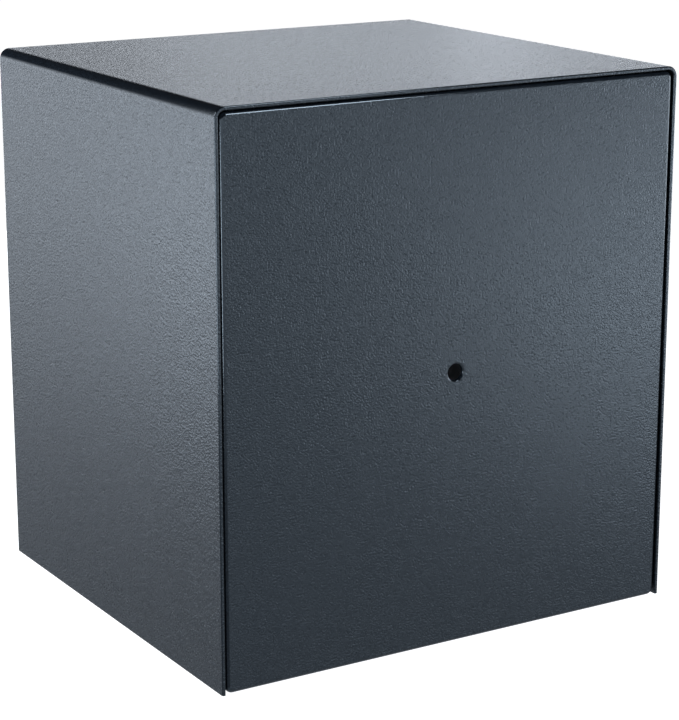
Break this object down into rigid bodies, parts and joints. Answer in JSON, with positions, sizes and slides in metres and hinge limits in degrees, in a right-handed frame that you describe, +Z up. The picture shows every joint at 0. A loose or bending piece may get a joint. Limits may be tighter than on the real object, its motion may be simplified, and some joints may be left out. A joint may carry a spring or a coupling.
{
  "type": "handgun safe",
  "caption": "Small double-walled handgun safe with an inset door on concealed pivots, quarter-turn handle, keypad lock, shelf, and anchoring holes in rear wall and floor.",
  "frame": {"origin": "on the floor, under the middle of the carcass", "axes": "+Z up, the door faces -Y, +X is to the right of someone facing the door, +Y out of the rear wall"},
  "size_m": [0.44, 0.4474, 0.47],
  "materials": {
    "anthracite_coat": "fine-texture powder coat, satin",
    "casing_coat": "fine-texture powder coat, satin",
    "concrete": "poured, matt",
    "bare_steel": "turned",
    "zinc_plate": "zinc plated, satin",
    "spring_steel": "blued",
    "hardened_steel": "ground",
    "cast_zinc": "die cast, matt",
    "motor_can": "drawn",
    "brass": "turned",
    "satin_metal": "satin",
    "felt": "felted",
    "keypad_plastic": "fine-textured moulding",
    "key_plastic": "satin moulding",
    "silicone": "moulded",
    "circuit_board": "solder mask",
    "light_lens": "translucent lens",
    "battery_wrap": "plain wrapped can"
  },
  "bodies": {
    "carcass": {"outer_wrap": "anthracite_coat", "rear_panel": "anthracite_coat", "bottom_plate": "anthracite_coat", "inner_wrap": "casing_coat", "inner_floor_sheet": "casing_coat", "inner_rear_sheet": "casing_coat", "wall_infill": "concrete", "anchor_sleeves": "bare_steel", "door_frame": "anthracite_coat", "door_stop_bars": "anthracite_coat", "hinge_bushes": "brass", "shelf": "casing_coat", "shelf_rails": "casing_coat", "floor_mat": "felt"},
    "door": {"door_plate": "anthracite_coat", "bolt_housing": "casing_coat", "bolt_cover": "casing_coat", "cover_screws": "zinc_plate", "hinge_blocks": "anthracite_coat", "hinge_pins": "bare_steel", "hinge_side_dogs": "zinc_plate", "guide_posts": "bare_steel", "guide_clips": "spring_steel", "spindle_bush": "brass", "handle_rosette": "satin_metal", "hard_plate": "hardened_steel", "lock_case": "cast_zinc", "lock_cover": "cast_zinc", "lock_screws": "zinc_plate", "lock_motor": "motor_can", "swing_bolt_pin": "bare_steel", "keypad_housing": "keypad_plastic", "keypad_back_plate": "keypad_plastic", "keypad_screws": "zinc_plate", "keypad_board": "circuit_board", "key_dome_mat": "silicone", "indicator_lights": "light_lens"},
    "handle": {"handle": "satin_metal", "crank_spindle": "bare_steel", "spindle_circlip": "spring_steel", "handle_grub_screw": "spring_steel"},
    "carriage": {"bolt_carriage": "zinc_plate", "locking_bolts": "zinc_plate"},
    "swing_bolt": {"swing_bolt": "brass"},
    "battery_tray": {"battery_tray": "keypad_plastic", "battery": "battery_wrap"},
    "key_1": {"key_1": "key_plastic"},
    "key_2": {"key_2": "key_plastic"},
    "key_3": {"key_3": "key_plastic"},
    "key_4": {"key_4": "key_plastic"},
    "key_5": {"key_5": "key_plastic"},
    "key_6": {"key_6": "key_plastic"},
    "key_7": {"key_7": "key_plastic"},
    "key_8": {"key_8": "key_plastic"},
    "key_9": {"key_9": "key_plastic"},
    "key_clear": {"key_clear": "key_plastic"},
    "key_0": {"key_0": "key_plastic"},
    "key_enter": {"key_enter": "key_plastic"}
  },
  "joints": [
    {"name": "door_swing", "type": "hinge", "parent": "carcass", "child": "door", "pos_m": [0.152, -0.185, 0.235], "axis": [0, 0, 1], "range_deg": [0, 95]},
    {"name": "handle_turn", "type": "hinge", "parent": "door", "child": "handle", "pos_m": [0.05, -0.199, 0.235], "axis": [0, 1, 0], "range_deg": [-90, 0]},
    {"name": "carriage_slide", "type": "slide", "parent": "door", "child": "carriage", "axis": [-1, 0, 0], "range_m": [0, 0.01839]},
    {"name": "swing_bolt_turn", "type": "hinge", "parent": "door", "child": "swing_bolt", "pos_m": [0.01, -0.171, 0.29], "axis": [0, 1, 0], "range_deg": [0, 54.8]},
    {"name": "battery_tray_slide", "type": "slide", "parent": "door", "child": "battery_tray", "axis": [0, 0, -1], "range_m": [0, 0.036]},
    {"name": "key_1_press", "type": "slide", "parent": "door", "child": "key_1", "axis": [0, 1, 0], "range_m": [0, 0.0012], "stiffness_N_per_m": 800, "springref_m": -0.0006},
    {"name": "key_2_press", "type": "slide", "parent": "door", "child": "key_2", "axis": [0, 1, 0], "range_m": [0, 0.0012], "stiffness_N_per_m": 800, "springref_m": -0.0006},
    {"name": "key_3_press", "type": "slide", "parent": "door", "child": "key_3", "axis": [0, 1, 0], "range_m": [0, 0.0012], "stiffness_N_per_m": 800, "springref_m": -0.0006},
    {"name": "key_4_press", "type": "slide", "parent": "door", "child": "key_4", "axis": [0, 1, 0], "range_m": [0, 0.0012], "stiffness_N_per_m": 800, "springref_m": -0.0006},
    {"name": "key_5_press", "type": "slide", "parent": "door", "child": "key_5", "axis": [0, 1, 0], "range_m": [0, 0.0012], "stiffness_N_per_m": 800, "springref_m": -0.0006},
    {"name": "key_6_press", "type": "slide", "parent": "door", "child": "key_6", "axis": [0, 1, 0], "range_m": [0, 0.0012], "stiffness_N_per_m": 800, "springref_m": -0.0006},
    {"name": "key_7_press", "type": "slide", "parent": "door", "child": "key_7", "axis": [0, 1, 0], "range_m": [0, 0.0012], "stiffness_N_per_m": 800, "springref_m": -0.0006},
    {"name": "key_8_press", "type": "slide", "parent": "door", "child": "key_8", "axis": [0, 1, 0], "range_m": [0, 0.0012], "stiffness_N_per_m": 800, "springref_m": -0.0006},
    {"name": "key_9_press", "type": "slide", "parent": "door", "child": "key_9", "axis": [0, 1, 0], "range_m": [0, 0.0012], "stiffness_N_per_m": 800, "springref_m": -0.0006},
    {"name": "key_clear_press", "type": "slide", "parent": "door", "child": "key_clear", "axis": [0, 1, 0], "range_m": [0, 0.0012], "stiffness_N_per_m": 800, "springref_m": -0.0006},
    {"name": "key_0_press", "type": "slide", "parent": "door", "child": "key_0", "axis": [0, 1, 0], "range_m": [0, 0.0012], "stiffness_N_per_m": 800, "springref_m": -0.0006},
    {"name": "key_enter_press", "type": "slide", "parent": "door", "child": "key_enter", "axis": [0, 1, 0], "range_m": [0, 0.0012], "stiffness_N_per_m": 800, "springref_m": -0.0006}
  ],
  "couplings": [
    {"joint": "carriage_slide", "follows": "handle_turn", "m_per_rad": -0.011704},
    {"joint": "swing_bolt_turn", "follows": "handle_turn", "ratio": -0.60806}
  ]
}
